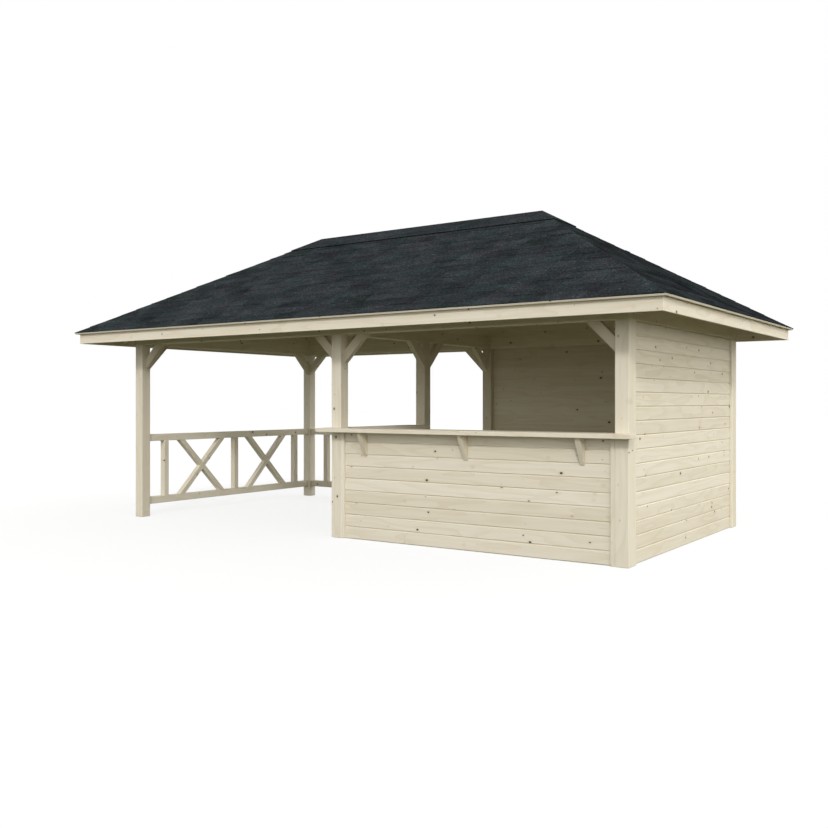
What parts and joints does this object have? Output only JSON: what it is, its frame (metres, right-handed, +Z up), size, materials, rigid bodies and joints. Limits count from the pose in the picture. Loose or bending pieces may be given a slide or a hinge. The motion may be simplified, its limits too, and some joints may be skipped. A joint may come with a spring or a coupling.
{
  "type": "wooden market stall",
  "caption": "Open timber stall with a hipped shingle roof on square posts, a boarded corner bar with an L-shaped counter, and a seating bay with cross-braced railings.",
  "frame": {"origin": "centre of the footprint, on the ground", "axes": "+X along the long side towards the bar end, +Y from the serving front to the back, +Z up"},
  "size_m": [7.09, 4.09, 3.3582],
  "materials": {
    "timber": "planed untreated softwood",
    "board": "planed tongue and groove boards",
    "trim": "planed untreated softwood",
    "felt": "granular bitumen shingles"
  },
  "bodies": {
    "root": {"post_front_left": "timber", "post_front_middle": "timber", "post_front_right": "timber", "post_back_left": "timber", "post_back_middle": "timber", "post_back_right": "timber", "post_centre": "timber", "beam_front": "timber", "beam_back": "timber", "beam_left": "timber", "beam_right": "timber", "beam_middle": "timber", "long_plates": "timber", "end_plates": "timber", "braces_front": "timber", "braces_back": "timber", "braces_left": "timber", "braces_middle": "timber", "ridge_beam": "timber", "hip_rafters": "timber", "long_rafters": "timber", "end_rafters": "timber", "deck_front": "board", "deck_back": "board", "deck_left": "board", "deck_right": "board", "cover_front": "felt", "cover_back": "felt", "cover_left": "felt", "cover_right": "felt", "ridge_cap": "felt", "long_fascias": "trim", "end_fascias": "trim", "eaves_strip": "trim", "wall_right": "board", "wall_back": "board", "bar_front": "board", "bar_side": "board", "wall_battens": "trim", "bar_battens": "trim", "counter_front": "trim", "counter_side": "trim", "counter_brackets": "timber", "railing_left": "timber", "railing_back": "timber"}
  },
  "joints": []
}
